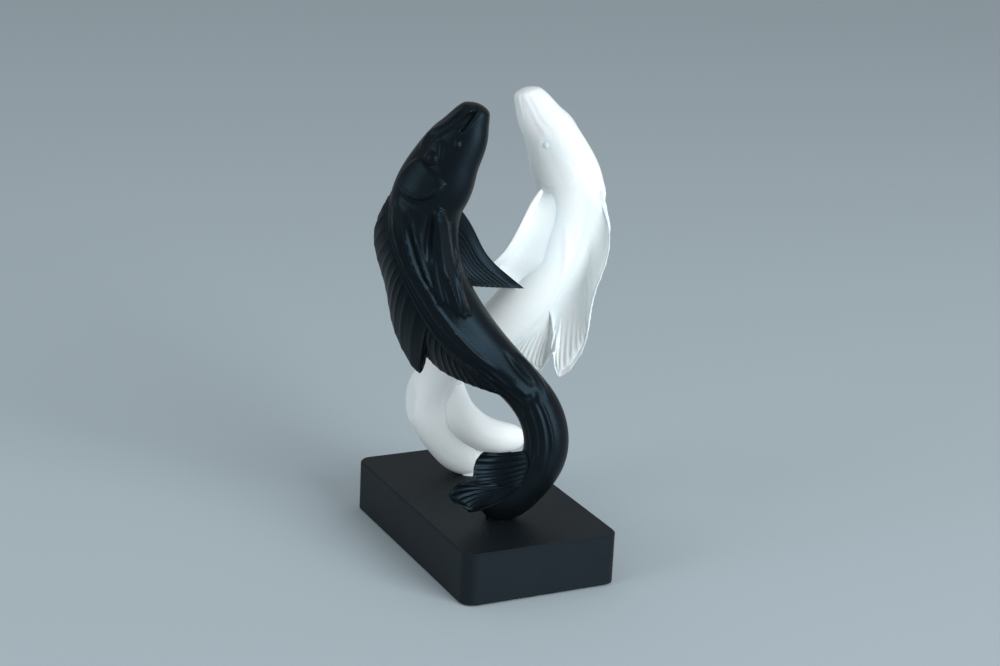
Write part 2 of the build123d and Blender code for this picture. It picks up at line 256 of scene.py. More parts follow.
def skin_point(place, angle, rise=0.0):
    """A point over the skin and the way out from it. Angles run from the back, and are below zero on the
    near flank."""
    centre, back, side, depth, width = (part[0] for part in body_at(np.array([place])))
    turn = math.radians(angle)
    outward = unit(back * math.cos(turn) / depth + side * math.sin(turn) / width)
    return centre + back * depth * math.cos(turn) + side * width * math.sin(turn) + outward * rise, outward


# Grid of the skin: rings along the spine, closest at the snout and on the head, and strips round them. The
# arc is the length of one degree round each ring
strips = 150
places = np.concatenate([np.linspace(0.0004, 0.012, 9), np.linspace(0.014, 0.230, 112),
                         np.linspace(0.232, 0.700, 136), np.linspace(0.705, 0.9995, 74)])
angles = np.linspace(-180, 180, strips, endpoint=False)
centre, back, side, depth, width = body_at(places)
turn = np.radians(angles)
arc = np.sqrt((depth * np.sin(turn)) ** 2 + (width * np.cos(turn)) ** 2) * math.pi / 180
relief = np.zeros((len(places), strips))

# Lines over the skin: how far apart their points are, a rough length of one degree, and how far before and
# behind a line the skin feels it, as a share of the spine
line_spacing = 0.45
rough_degree = 0.2
line_reach = 0.03

# Share of its full height with which a panel that grows starts
panel_start = 0.25


def gap_to_line(points, closed=False):
    """For every point of the skin, how far it lies from a line over the skin, and where along the line. The
    line's points are given as place and angle, and only rings near it are looked at."""
    points = np.array(points, float)
    length = np.linalg.norm(np.diff(points, axis=0) * [body_length, rough_degree], axis=1).sum()
    step = np.linspace(0, 1, int(length / line_spacing) + 8)
    if closed:
        points = np.vstack([points, points[:1]])
    knots = steps_along(points * [body_length, rough_degree])
    if closed:
        line = np.stack([np.interp(step, knots, points[:, k]) for k in (0, 1)], 1)
    else:
        line = smooth(knots, points, step)
    rows = np.flatnonzero((places > line[:, 0].min() - line_reach) & (places < line[:, 0].max() + line_reach))
    along = (places[rows, None, None] - line[:, 0]) * body_length
    around = ((angles[:, None] - line[:, 1] + 180) % 360 - 180) * arc[rows][:, :, None]
    gap = np.sqrt(along ** 2 + around ** 2)
    return rows, gap.min(2), step[gap.argmin(2)], line


def ridge(points, height, breadth, fade=0.25, square=2.0):
    """Raises a line over the skin, or cuts it if the height is below zero. It thins out over the given share
    of its length at both ends, and a higher square gives it a flatter top and steeper sides."""
    rows, gap, step, _ = gap_to_line(points)
    ends = np.clip(np.minimum(step, 1 - step) / max(fade, 0.001), 0, 1) ** 0.7
    relief[rows] += height * ends * np.exp(-(gap / breadth) ** square)


def panel(outline, height, edge, grow=None):
    """Raises what lies within an outline over the skin, with sides as steep as the edge is narrow. If grow
    gives two places, the panel rises out of the skin between them."""
    rows, gap, _, line = gap_to_line(outline, closed=True)
    inside = np.zeros(gap.shape, bool)
    for (p0, a0), (p1, a1) in zip(line, np.roll(line, -1, 0)):
        crosses = (angles > a0) != (angles > a1)
        with np.errstate(divide="ignore", invalid="ignore"):
            inside ^= crosses & (places[rows][:, None] < (p1 - p0) * (angles - a0) / (a1 - a0) + p0)
    share = 1 / (1 + np.exp(np.clip(np.where(inside, -gap, gap) / edge, -30, 30)))
    if grow:
        grown = np.clip((places[rows] - grow[0]) / (grow[1] - grow[0]), 0, 1)
        share = share * (panel_start + (1 - panel_start) * grown)[:, None]
    relief[rows] += height * share


# Head: lips, brow, nostrils and gill covers. The far side lies further round and is softer
for sign, shift, soft in ((-1, 0, 1.0), (1, 22, 0.11)):
    def at(*rows):
        """Points on this side of the head."""
        return [(place, sign * angle + shift) for place, angle in rows]

    ridge(at((0.004, 78), (0.026, 69), (0.052, 62), (0.078, 57), (0.094, 56), (0.102, 60)),
          0.95 * soft, 0.85, 0.12)
    ridge(at((0.096, 66), (0.108, 78), (0.122, 87), (0.138, 90)), 0.65 * soft, 1.2, 0.3)
    ridge(at((0.012, 62), (0.038, 56), (0.070, 49), (0.100, 43), (0.116, 50)), -0.6 * soft, 0.55, 0.15)
    ridge(at((0.010, 50), (0.040, 43), (0.080, 36), (0.108, 30), (0.122, 36), (0.134, 48)),
          0.5 * soft, 0.65, 0.15)
    ridge(at((0.000, 84), (0.012, 90), (0.028, 92), (0.044, 91), (0.062, 88)), -0.8 * soft, 0.5, 0.12)
    ridge(at((0.004, 97), (0.016, 98), (0.032, 99), (0.050, 96)), 0.35 * soft, 0.7, 0.2)
    ridge(at((0.016, 82), (0.036, 78), (0.056, 77)), -0.5 * soft, 0.8, 0.25)
    ridge(at((0.006, 108), (0.022, 101), (0.040, 97), (0.060, 93)), 0.5 * soft, 0.55, 0.12)
    ridge(at((0.074, 96), (0.080, 99), (0.087, 105)), 0.65 * soft, 0.6)
    panel(at((0.178, 40), (0.190, 40), (0.204, 45), (0.210, 56), (0.213, 70), (0.211, 87), (0.202, 100),
             (0.188, 110), (0.172, 116), (0.160, 116), (0.155, 104), (0.152, 88), (0.149, 76),
             (0.145, 63), (0.148, 53), (0.162, 44)), 1.7 * soft, 0.20, (0.140, 0.205))
    ridge(at((0.182, 43), (0.200, 47), (0.208, 66), (0.206, 86), (0.186, 106), (0.164, 113)),
          0.35 * soft, 0.55, 0.1)
    ridge(at((0.216, 44), (0.223, 66), (0.219, 92), (0.196, 117)), -0.3 * soft, 0.9, 0.3)

# Near flank: the folded fin is a raised fan with a hollow beside it, a blade along its lower side and rays
# that end in a ragged step
panel([(0.225, -113), (0.262, -108), (0.306, -98), (0.335, -87), (0.370, -73), (0.400, -63), (0.420, -57),
       (0.423, -63), (0.421, -68), (0.436, -72), (0.432, -75), (0.455, -75), (0.462, -74), (0.460, -80),
       (0.473, -85), (0.470, -91), (0.476, -97), (0.450, -106), (0.426, -113), (0.380, -125),
       (0.330, -134), (0.290, -137), (0.250, -137), (0.216, -129), (0.212, -120)], 0.75, 0.16)
ridge([(0.214, -121), (0.264, -123), (0.304, -118), (0.336, -112), (0.377, -104), (0.418, -96),
       (0.460, -85)], 0.6, 1.9, 0.12, 3.0)
ridge([(0.216, -114), (0.272, -115), (0.312, -108), (0.342, -101), (0.374, -95), (0.410, -91),
       (0.456, -82)], 0.75, 1.1, 0.12)
ridge([(0.214, -127), (0.256, -131), (0.296, -129), (0.330, -124), (0.380, -114), (0.426, -101),
       (0.464, -87)], 0.30, 0.45, 0.05)
ridge([(0.228, -109), (0.270, -101), (0.306, -90), (0.334, -82)], -1.5, 1.3, 0.3)
ridge([(0.322, -150), (0.350, -139), (0.380, -123), (0.416, -107), (0.462, -92)], 0.75, 0.9, 0.1)
ridge([(0.245, -146), (0.297, -146), (0.340, -138)], -0.8, 1.3, 0.35)
for row in (
    [(0.330, -88), (0.370, -75), (0.410, -64)],
    [(0.328, -93), (0.370, -80), (0.430, -64)],
    [(0.330, -98), (0.380, -84), (0.436, -71)],
    [(0.345, -99), (0.395, -86), (0.448, -77)],
    [(0.360, -100), (0.410, -90), (0.462, -80)],
):
    ridge(row, 0.45, 0.42, 0.15)

# Near flank: two cords along the foot of the back fin, and long folds that run from the shoulder to the tail
ridge([(0.222, -3), (0.265, -3), (0.330, -5), (0.400, -6), (0.474, -7), (0.514, -12), (0.542, -17),
       (0.590, -18), (0.640, -10), (0.664, -4)], 1.0, 0.55, 0.05)
ridge([(0.232, -18), (0.300, -19), (0.380, -19), (0.474, -20), (0.540, -27), (0.600, -30), (0.650, -26)],
      0.45, 0.5, 0.1)
ridge([(0.236, -40), (0.282, -36), (0.310, -34), (0.350, -32), (0.384, -35), (0.420, -35), (0.452, -35),
       (0.490, -38), (0.548, -41), (0.604, -44), (0.660, -44)], 0.8, 0.62, 0.06)
ridge([(0.238, -47), (0.290, -46), (0.350, -41), (0.430, -43), (0.520, -47), (0.600, -51)], 0.5, 0.5, 0.1)
ridge([(0.236, -59), (0.280, -58), (0.310, -55), (0.344, -51), (0.376, -52), (0.412, -51), (0.470, -52),
       (0.552, -54), (0.610, -57)], 0.95, 0.75, 0.15)
ridge([(0.236, -74), (0.278, -75), (0.312, -72), (0.344, -67), (0.368, -64), (0.398, -60)],
      0.75, 0.7, 0.12)
ridge([(0.250, -67), (0.300, -65), (0.345, -59), (0.390, -57)], -0.5, 0.6, 0.2)
ridge([(0.260, -84), (0.300, -81), (0.330, -76)], 0.4, 0.6, 0.2)
ridge([(0.226, -40), (0.232, -52), (0.237, -64), (0.234, -77)], 0.45, 1.6, 0.3)
ridge([(0.452, -54), (0.500, -54), (0.552, -56), (0.610, -60), (0.650, -64), (0.690, -67)],
      0.7, 2.4, 0.15)
ridge([(0.588, -103), (0.606, -99), (0.634, -93), (0.680, -91)], -0.75, 1.1, 0.4)
ridge([(0.610, -134), (0.640, -131), (0.668, -127), (0.690, -119), (0.714, -104)], 0.6, 0.9, 0.25)
ridge([(0.620, -112), (0.650, -108), (0.680, -106)], 0.4, 0.7, 0.25)
ridge([(0.577, -24), (0.621, -33), (0.664, -36), (0.700, -42)], 0.6, 0.6, 0.15)
ridge([(0.640, -56), (0.672, -62), (0.690, -66)], 0.5, 0.8, 0.25)
ridge([(0.682, -90), (0.696, -80), (0.694, -68), (0.684, -60)], -0.5, 1.1, 0.3)
for row in (
    [(0.700, -84), (0.740, -80), (0.800, -80), (0.860, -84)],
    [(0.700, -68), (0.740, -64), (0.795, -60), (0.850, -62)],
    [(0.690, -52), (0.733, -44), (0.780, -40), (0.840, -42)],
    [(0.690, -36), (0.740, -28), (0.800, -24), (0.850, -26)],
):
    ridge(row, 0.5, 0.7, 0.2)

# Far flank: soft folds down from the nape
ridge([(0.222, 4), (0.300, 5), (0.400, 6), (0.500, 7), (0.655, 5)], 0.6, 0.6, 0.05)
ridge([(0.290, 96), (0.360, 84), (0.430, 70), (0.500, 60)], 0.4, 1.2, 0.25)
ridge([(0.560, 50), (0.640, 56), (0.740, 60), (0.830, 62)], -0.8, 1.0, 0.2)
ridge([(0.550, 66), (0.640, 72), (0.740, 76), (0.830, 78)], -0.5, 0.8, 0.2)


def swell(place, spread, height, facing=None):
    """A soft rise round the body at a place, or only on the side that faces an angle."""
    rise = height * np.exp(-((places - place) / spread) ** 2)[:, None]
    return rise if facing is None else rise * np.clip(np.cos(turn - math.radians(facing)), 0, 1)


def rounded(distance, length):
    """Share of its size that the body keeps at a distance from its end, where it is round over a length."""
    return np.sqrt(np.clip(1 - np.clip((length - distance) / length, 0, 1) ** 2, 0.0004, 1))


# The crown and the throat are full, the snout is blunt, and snout and tail end round
relief += swell(0.070, 0.052, 1.0, 0)
relief += swell(0.170, 0.055, 1.0, 180)
relief += swell(0, 0.020, 0.85)
taper = (rounded(places, 0.010) * rounded(1 - places, 0.025))[:, None]
cosine, sine = np.cos(turn)[None, :, None], np.sin(turn)[None, :, None]
outward = unit(back[:, None] * cosine / depth[:, None] + side[:, None] * sine / width[:, None])
skin = (centre[:, None] + (back[:, None] * (depth * taper)[:, None] * cosine)
        + side[:, None] * (width * taper)[:, None] * sine + outward * (relief * taper)[:, :, None])


def tube_faces(count, across):
    """Faces of a closed tube of rings, with a fan at each end."""
    ring, strip = np.meshgrid(np.arange(count - 1), np.arange(across), indexing="ij")
    after = (strip + 1) % across
    quads = np.stack([ring * across + strip, ring * across + after, (ring + 1) * across + after,
                      (ring + 1) * across + strip], -1).reshape(-1, 4).tolist()
    first, last = count * across, count * across + 1
    for k in range(across):
        following = (k + 1) % across
        quads.append([first, following, k])
        quads.append([last, (count - 1) * across + k, (count - 1) * across + following])
    return quads


def tube(points):
    """A closed shell through a grid of rings."""
    ends = np.array([points[0].mean(0), points[-1].mean(0)])
    return np.concatenate([points.reshape(-1, 3), ends]), tube_faces(*points.shape[:2])


def sheet(middle, half):
    """A closed shell on both sides of a grid of points, as thick as given."""
    rows, columns = middle.shape[:2]
    normal = unit(np.cross(np.gradient(middle, axis=0), np.gradient(middle, axis=1)))
    upper, lower = middle + normal * half[..., None], middle - normal * half[..., None]
    number = np.arange(rows * columns).reshape(rows, columns)
    quads = np.stack([number[:-1, :-1], number[1:, :-1], number[1:, 1:], number[:-1, 1:]], -1).reshape(-1, 4)
    below = quads[:, ::-1] + rows * columns
    rim = np.concatenate([number[0], number[1:, -1], number[-1, -2::-1], number[-2:0:-1, 0]])
    around = np.roll(rim, -1)
    walls = np.stack([around, rim, rim + rows * columns, around + rows * columns], -1)
    return (np.concatenate([upper.reshape(-1, 3), lower.reshape(-1, 3)]),
            np.concatenate([quads, below, walls]).tolist())


def rays(step, count, sharp=3.0):
    """How far into a ray each step lies: 1 on the crest of one of the rays, 0 midway between two."""
    return (0.5 - 0.5 * np.cos(2 * math.pi * count * step)) ** sharp


def facing_side(grid, towards):
    """Directions square to a grid of points, turned to the side of the given ones."""
    normal = unit(np.cross(np.gradient(grid, axis=0), np.gradient(grid, axis=1)))
    return normal * np.sign((normal * towards[:, None]).sum(-1, keepdims=True))


def bowed_sheet(start, start_way, finish, finish_way, pull, count):
    """A grid of points between two lines. It leaves the first and meets the second along the given ways, the
    further the stronger the pull."""
    span = np.linalg.norm(finish - start, axis=1)[:, None]
    out = np.linspace(0, 1, count)[None, :, None]
    return (start[:, None] * (1 - out) ** 3
            + (start + start_way * pull * span)[:, None] * 3 * out * (1 - out) ** 2
            + (finish - finish_way * pull * span)[:, None] * 3 * out ** 2 * (1 - out)
            + finish[:, None] * out ** 3)


# Back fin: two thin lobes with narrow rays. Each ray leaves the back along it and bends down to the fin's
# edge. A smooth web fills the far side, from the flank out to the edge. The rows give points of the edge,
# and the place on the spine where the ray that ends there is rooted
front_lobe = [
    (-0.864, 0.48, 0.750, 0.228), (-1.015, 0.29, 0.668, 0.246), (-0.980, 0.23, 0.590, 0.288),
    (-0.915, 0.20, 0.530, 0.309), (-0.857, 0.18, 0.450, 0.338), (-0.760, 0.15, 0.375, 0.374),
    (-0.593, 0.10, 0.311, 0.444), (-0.545, 0.235, 0.362, 0.464),
]
white_front_lobe = [
    (-0.845, 0.45, 0.752, 0.228), (-0.965, 0.29, 0.668, 0.246), (-0.950, 0.23, 0.590, 0.288),
    (-0.886, 0.20, 0.530, 0.309), (-0.838, 0.18, 0.450, 0.338), (-0.790, 0.15, 0.370, 0.374),
    (-0.600, 0.10, 0.309, 0.444), (-0.548, 0.245, 0.356, 0.466),
]
rear_lobe = [
    (-0.560, 0.225, 0.370, 0.436), (-0.480, 0.30, 0.345, 0.455), (-0.295, 0.46, 0.320, 0.492),
    (-0.052, 0.73, 0.309, 0.558), (0.125, 0.93, 0.305, 0.640),
]
white_rear_lobe = [
    (-0.562, 0.235, 0.366, 0.436), (-0.520, 0.27, 0.350, 0.442), (-0.430, 0.34, 0.308, 0.462),
    (-0.295, 0.46, 0.318, 0.492), (-0.052, 0.73, 0.309, 0.558), (0.125, 0.93, 0.305, 0.640),
]

# How far the white fish leans to its back at places on its spine
white_places = [0, 0.03, 0.06, 0.09, 0.13, 0.18, 0.22, 0.26, 0.32]
white_lean = [0.1, 0.5, 0.7, 0.8, 0.8, 1.0, 1.2, 0.7, 0]

# Half thickness of the back fin between its rays and what a ray adds, how much shorter it is between them,
# how far out it bends and how high, how far from the skin its rays start and over what length they grow
blade_half, ray_half = 0.30, 0.66
scallop = 0.012
bend_share, bend_lift = 0.28, 0.10
ray_start, ray_growth = 4.0, 5.0
blade_columns = 22

# The web of the back fin: the angle on the far flank where it starts, how deep in the skin, how far it
# follows that flank, its half thickness and what a ray adds, and how far it dips at its front end
web_angle = 66
web_sink = 0.5
web_pull = 0.42
web_blade_half, web_ray_half = 0.45, 0.45
web_dip = 1.4
web_columns = 26


def fin_lobe(lobe, count, lean=((0, 1), (0, 0))):
    """A lobe of the back fin and the web on its far side, as two closed shells. Its root leans with the
    back."""
    lobe = np.array(lobe)
    edge = spots(lobe[:, :3])
    knots = steps_along(edge)
    step = np.linspace(0, 1, 10 * count + 1)
    rooted = smooth(knots, lobe[:, 3], step)
    root_centre, root_back, root_side, root_depth, root_width = body_at(rooted)
    root_centre = root_centre + root_back * np.interp(rooted, *lean)[:, None]
    crest = rays(step, count, 4.0)
    tip = smooth(knots, edge, step)
    surface = root_centre + root_back * root_depth
    span = np.linalg.norm(tip - surface, axis=1)[:, None]
    tip = surface + (tip - surface) * (1 - scallop * (1 - crest))[:, None]
    sunk = root_centre + root_back * (root_depth - fin_root_sink)
    lift = bend_lift * span * np.clip(5 - 5 * step, 0, 1)[:, None]
    bend = surface * (1 - bend_share) + tip * bend_share + root_back * lift
    out = np.linspace(0, 1, blade_columns)
    at_out = out[None, :, None]
    middle = (sunk[:, None] * (1 - at_out) ** 2 + bend[:, None] * 2 * at_out * (1 - at_out)
              + tip[:, None] * at_out ** 2)
    clear = np.clip((out[None, :] * span - ray_start) / ray_growth, 0, 1)
    half = blade_half + ray_half * crest[:, None] * clear * np.clip(1.25 - out, 0, 1)
    half = half * (1 - 0.4 * out[None, :])
    # Thinner along the edge and at both ends
    half[:, -1] *= 0.6
    half[[0, -1]] *= 0.5
    blade = sheet(middle, half)

    cosine, sine = math.cos(math.radians(web_angle)), math.sin(math.radians(web_angle))
    begin = root_centre + root_back * (root_depth * cosine) + root_side * (root_width * sine)
    begin = begin - unit(root_back * cosine / root_depth + root_side * sine / root_width) * web_sink
    uphill = unit(root_back * (root_depth * sine) - root_side * (root_width * cosine))
    finish = middle[:, -2] + facing_side(middle, root_side)[:, -2] * 0.25
    fin_way = unit(middle[:, -2] - middle[:, 8])
    web = bowed_sheet(begin, uphill, finish, fin_way, web_pull, web_columns)
    dip = web_dip * np.clip(1 - step / 0.12, 0, 1) ** 1.5
    web = web - facing_side(web, root_side) * dip[:, None, None]
    over = np.linspace(0, 1, web_columns)[None, :]
    # The web has rays only on its lower part, towards the edge
    lower = np.clip((rooted - 0.29) / 0.08, 0, 1)[:, None] * np.clip((over - 0.45) / 0.4, 0, 1)
    ribbing = rays(step, count * 2, 2.0)[:, None] * lower * (1 - 0.3 * over)
    half = web_blade_half + web_ray_half * ribbing
    half[:, [0, -1]] = 0.2
    half[[0, -1]] *= 0.5
    return [blade, sheet(web, half)]


black_fin = fin_lobe(front_lobe, 14) + fin_lobe(rear_lobe, 10)
white_fin = fin_lobe(white_front_lobe, 14, (white_places, white_lean)) + fin_lobe(white_rear_lobe, 10)

# Side fin that spreads from the far flank: a broad band along its hollow front edge, with rays beside it
# that end on the fin's lower edge. Its root is sunk in the body
side_fin_sink = 3.6
side_blade_half, side_ray_half = 0.34, 0.60
side_rays = 10
fin_start = spots([(-0.400, 0.50, 0.765), (-0.195, 0.14, 0.679), (-0.060, 0.09, 0.611), (0.076, 0.07, 0.574),
                   (0.262, 0.07, 0.534)])
fin_end = spots([(-0.360, 0.66, 0.592), (-0.285, 0.69, 0.578), (-0.245, 0.71, 0.570), (-0.215, 0.72, 0.565),
                 (-0.190, 0.72, 0.561)])
fin_out = np.linspace(0, 1, 32)
fin_step = np.linspace(0, 1, 81)
start, finish = line_at(fin_start, fin_out), line_at(fin_end, fin_out)
normal = unit(np.cross(fin_start[-1] - fin_start[0], fin_end[-1] - fin_start[0]))
fin_middle = start[None] + (finish - start)[None] * fin_step[:, None, None]
fin_middle = fin_middle + normal * (side_fin_hollow * 4 * fin_step * (1 - fin_step))[:, None, None]
into_body = unit(skin_point(0.215, 130)[0] - skin_point(0.215, 130, 1.0)[0])
sunken = side_fin_sink * np.clip(1 - fin_out / 0.2, 0, 1) ** 2
fin_middle = fin_middle + into_body * sunken[None, :, None]
band = np.exp(-((fin_step - 0.10) / 0.10) ** 4)
crest = np.maximum(rays(np.clip(fin_step - 0.20, 0, 1), side_rays, 2.0) * (fin_step > 0.2), band)
fin_half = (side_blade_half + side_ray_half * crest[:, None]) * (1 - 0.45 * fin_out[None, :])
fin_half[0] *= 0.5
fin_half[:, -1] *= 0.55
black_side_fin = sheet(fin_middle, fin_half)

# The white one's side fin stands off a little at its root, and a smooth web joins it to the flank
stand_off = np.clip(1 - fin_out / 0.4, 0, 1) ** 1.5
white_middle = fin_middle + np.array([white_side_fin_shift, 0, 0]) * stand_off[None, :, None]
white_side_fin = sheet(white_middle, fin_half)
flank = [(skin_point(place, 96, -0.9)[0], skin_point(place, 102)[0] - skin_point(place, 94)[0])
         for place in np.linspace(0.206, 0.432, len(fin_out))]
begin = np.array([row[0] for row in flank])
begin_way = unit(np.array([row[1] for row in flank]))
edge_way = unit(start - finish)
near_end = np.clip((fin_out - 0.70) / 0.30, 0, 1)
lowered = (near_end ** 2 * (3 - 2 * near_end))[:, None]
edge_of_fin = (white_middle[0] - edge_way * 0.4) * (1 - lowered) + skin_point(0.46, 138, -2.0)[0] * lowered
web = bowed_sheet(begin, begin_way, edge_of_fin, edge_way, 0.4, 30)
web_half = np.full(web.shape[:2], 0.4)
web_half[:, [0, -1]] = 0.2
web_half[[0, -1]] = 0.2
side_web = sheet(web, web_half)

# Tail: two lobes cupped towards the front, with rays that sweep round beside the lip and fan out. The upper
# lobe has the first share of the roots
tail_facing = np.array([0, -0.86, 0.5])
tail_split = 0.46
tail_blade_half, tail_ray_half = 0.42, 0.45
tail_rays = 9
tail_roots = spots([(0.329, 1.05, 0.177), (0.367, 1.14, 0.157), (0.355, 1.20, 0.121), (0.314, 1.23, 0.096),
                    (0.221, 1.27, 0.073), (0.098, 1.32, 0.053), (-0.017, 1.36, 0.041)])
upper_edge = spots([(-0.007, 1.16, 0.175), (-0.057, 1.16, 0.159), (-0.083, 1.18, 0.140),
                    (-0.088, 1.23, 0.124), (-0.090, 1.30, 0.107)])
lower_edge = spots([(-0.090, 1.30, 0.107), (-0.145, 1.41, 0.111), (-0.221, 1.50, 0.106),
                    (-0.279, 1.59, 0.082), (-0.195, 1.57, 0.063), (-0.079, 1.50, 0.046)])
tail_step = np.linspace(0, 1, 151)
tail_out = np.linspace(0, 1, 32)
root = line_at(tail_roots, tail_step)
upper_tip = line_at(upper_edge, np.clip(tail_step / tail_split, 0, 1))
lower_tip = line_at(lower_edge, np.clip((tail_step - tail_split) / (1 - tail_split), 0, 1))
ray_way = np.where((tail_step <= tail_split)[:, None], upper_tip, lower_tip) - root
facing = unit(tail_facing - ray_way * ((ray_way @ tail_facing) / (ray_way ** 2).sum(1))[:, None])
tail_middle = (root[:, None] + ray_way[:, None] * tail_out[None, :, None]
               - facing[:, None] * (tail_hollow * 4 * tail_out * (1 - tail_out))[None, :, None])
crest = rays(tail_step[:, None] / (0.5 + 0.5 * tail_out[None, :] ** 0.9), tail_rays, 1.6)
tail_half = tail_blade_half + tail_ray_half * crest * np.clip(tail_out * 4, 0, 1)[None, :]
tail_half = tail_half * (1 - 0.4 * tail_out[None, :])
tail_half[:, -1] *= 0.55
tail_half[[0, -1]] *= 0.6
black_tail = sheet(tail_middle, tail_half)

# The upper lobe of the white one's tail is lower, so that it doesn't stick out of the curl
drop = white_tail_drop * np.clip(1 - tail_step / 0.4, 0, 1)[:, None] * tail_out[None, :] ** 2
white_tail = sheet(tail_middle - drop[:, :, None] * [0, 0, 1], tail_half)

# The skin gives way behind the cupped tail: from this place on the spine, what lies in front of the tail, or
# of a continuation of it past its first ray and its edge, is moved to just behind it
give_way_from = 0.72
give_way_reach = 16.0
give_way_gap = 0.55
above = tail_middle[:1] + (tail_middle[:1] - tail_middle[12:13]) * np.array([1.2, 0.6])[:, None, None]
above[:, :11] = tail_middle[:1, :11]
beyond = np.concatenate([above, tail_middle])
beyond = np.concatenate([beyond, beyond[:, -1:] * 1.3 - beyond[:, -5:-4] * 0.3], axis=1)
wide = beyond.shape[1]
cup = BVHTree.FromPolygons([Vector(p) for p in beyond.reshape(-1, 3)], [
    (r * wide + c, (r + 1) * wide + c, (r + 1) * wide + c + 1, r * wide + c + 1)
    for r in range(len(beyond) - 1) for c in range(wide - 1)])
inward = Vector(-tail_facing).normalized()
for r in np.flatnonzero(places > give_way_from):
    for c in range(strips):
        hit = cup.ray_cast(Vector(skin[r, c]), inward, give_way_reach)[0]
        if hit is not None:
            skin[r, c] = np.array(hit + inward * give_way_gap)
skin[:, :, 2] = np.maximum(skin[:, :, 2], block_top + block_clearance)

# Lip round the cup
lip_points = 120
lip_radius = 0.85
around = np.linspace(0, 2 * math.pi, 14, endpoint=False)
lip_line = line_at(tail_roots, np.linspace(0, 1, lip_points))
lip_way = unit(np.gradient(lip_line, axis=0))
lip_side = unit(np.cross(lip_way, tail_facing))
lip_up = np.cross(lip_side, lip_way)
lip_size = lip_radius * np.sin(np.linspace(0.25, math.pi - 0.25, lip_points)) ** 0.4
lip = tube(lip_line[:, None] + lip_size[:, None, None] * (
    lip_side[:, None] * np.cos(around)[None, :, None] + lip_up[:, None] * np.sin(around)[None, :, None]))

# Eyes: the near one and the far one, each with its place, its angle, its radius and how far it is sunk
eyes = []
for eye_place, eye_angle, eye_radius, eye_sink in ((0.134, -73, 3.4, 2.0), (0.120, 89, 2.8, 2.5)):
    middle_of_eye, way_out = skin_point(eye_place, eye_angle, -eye_sink)
    level = unit(np.cross(way_out, [0, 0, 1]))
    over = np.cross(level, way_out)
    polar = np.linspace(0.02, math.pi - 0.02, 20)
    turned = np.linspace(0, 2 * math.pi, 28, endpoint=False)
    ball = (way_out * np.cos(polar)[:, None, None]
            + level * (np.sin(polar)[:, None] * np.cos(turned))[:, :, None]
            + over * (np.sin(polar)[:, None] * np.sin(turned))[:, :, None])
    eyes.append(tube(middle_of_eye + eye_radius * ball))


def outside_out(points, faces):
    """Turns a closed shell's faces round if they point inwards."""
    volume = 0.0
    for face in faces:
        for k in range(1, len(face) - 1):
            volume += np.dot(points[face[0]], np.cross(points[face[k]], points[face[k + 1]]))
    return faces if volume > 0 else [list(reversed(face)) for face in faces]


# Foot: a box with its upright edges rounded
foot_place = (foot_across_share * fish_reach, -foot_front_share * fish_stand_off)
bpy.ops.mesh.primitive_cube_add(size=1)
foot = bpy.context.object
for vertex in foot.data.vertices:
    vertex.co = Vector((vertex.co.x * foot_length + foot_place[0], vertex.co.y * foot_width + foot_place[1],
                        foot_bottom if vertex.co.z < 0 else foot_top))
bpy.ops.object.mode_set(mode="EDIT")
bpy.ops.mesh.select_all(action="DESELECT")
bpy.ops.mesh.select_mode(type="EDGE")
bpy.ops.object.mode_set(mode="OBJECT")
for corner in foot.data.edges:
    low, high = [foot.data.vertices[k].co.z for k in corner.vertices]
    corner.select = low != high
bpy.ops.object.mode_set(mode="EDIT")
bpy.ops.mesh.bevel(offset=foot_corner_radius, segments=6)
bpy.ops.object.mode_set(mode="OBJECT")
foot_points = np.array([vertex.co[:] for vertex in foot.data.vertices])
foot_faces = [list(polygon.vertices) for polygon in foot.data.polygons]
bpy.data.objects.remove(foot)
shells = [lip, (foot_points, foot_faces)]

# Edges sharper than this stay sharp in the shading
sharp_angle = 55


def make_fish(name, turn, fish_shells):
    """One fish as one object, turned to its place on the block, inside the box of its solid."""
    low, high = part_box(name)
    points, faces, count = [], [], 0
    for shell_points, shell_faces in fish_shells:
        points.append(shell_points)
        faces += [[number + count for number in face] for face in outside_out(shell_points, shell_faces)]
        count += len(shell_points)
    cosine, sine = math.cos(math.radians(turn)), math.sin(math.radians(turn))
    turning = np.array([[cosine, -sine, 0], [sine, cosine, 0], [0, 0, 1]])
    placed = np.clip(np.concatenate(points) @ turning.T * mm, low, high)
    mesh = bpy.data.meshes.new(f"{name}_print")
    mesh.from_pydata(placed.tolist(), [], faces)
    mesh.update()
    made = bpy.data.objects.new(f"{name}_print", mesh)
    bpy.context.scene.collection.objects.link(made)
    bpy.ops.object.select_all(action="DESELECT")
    made.select_set(True)
    bpy.context.view_layer.objects.active = made
    bpy.ops.object.shade_smooth_by_angle(angle=math.radians(sharp_angle))
    bpy.ops.object.select_all(action="DESELECT")
    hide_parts(name)
    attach(made, "root")
    return made


# Black fish. It is printed in black PLA with a satin skin: dark, with broad soft highlights, and layers too
# fine to show except as a faint level ribbing, drawn at 0.6 mm.

black_plastic, tree, shader = new_material("satin_black_PLA_print", "#101417", Roughness=0.37, IOR=1.46,
                                           Specular_IOR_Level=0.30, Specular_Tint=linear("#93bdd4"))
print_surface(tree, shader, "#080b0d", "#0d1113", 0.6 * mm, 0.7 * mm, 0.4)
black = make_fish("black_fish", pair_turn,
                  shells + black_fin + eyes + [black_side_fin, black_tail, tube(skin)])
black.data.materials.append(black_plastic)

# White fish. It is the same print in white PLA, a slightly cool white that lets a little light into the thin
# fins. Its tail is fuller on the inside of its curl, its curl bulges more and its head is slimmer.

white_plastic, tree, shader = new_material("satin_white_PLA_print", "#eef2f0", Roughness=0.48, IOR=1.46,
                                           Specular_IOR_Level=0.3, Subsurface_Weight=0.15,
                                           Subsurface_Scale=2 * mm)
print_surface(tree, shader, "#edf2f0", "#f4f7f5", 0.6 * mm, 0.7 * mm, 0.35)

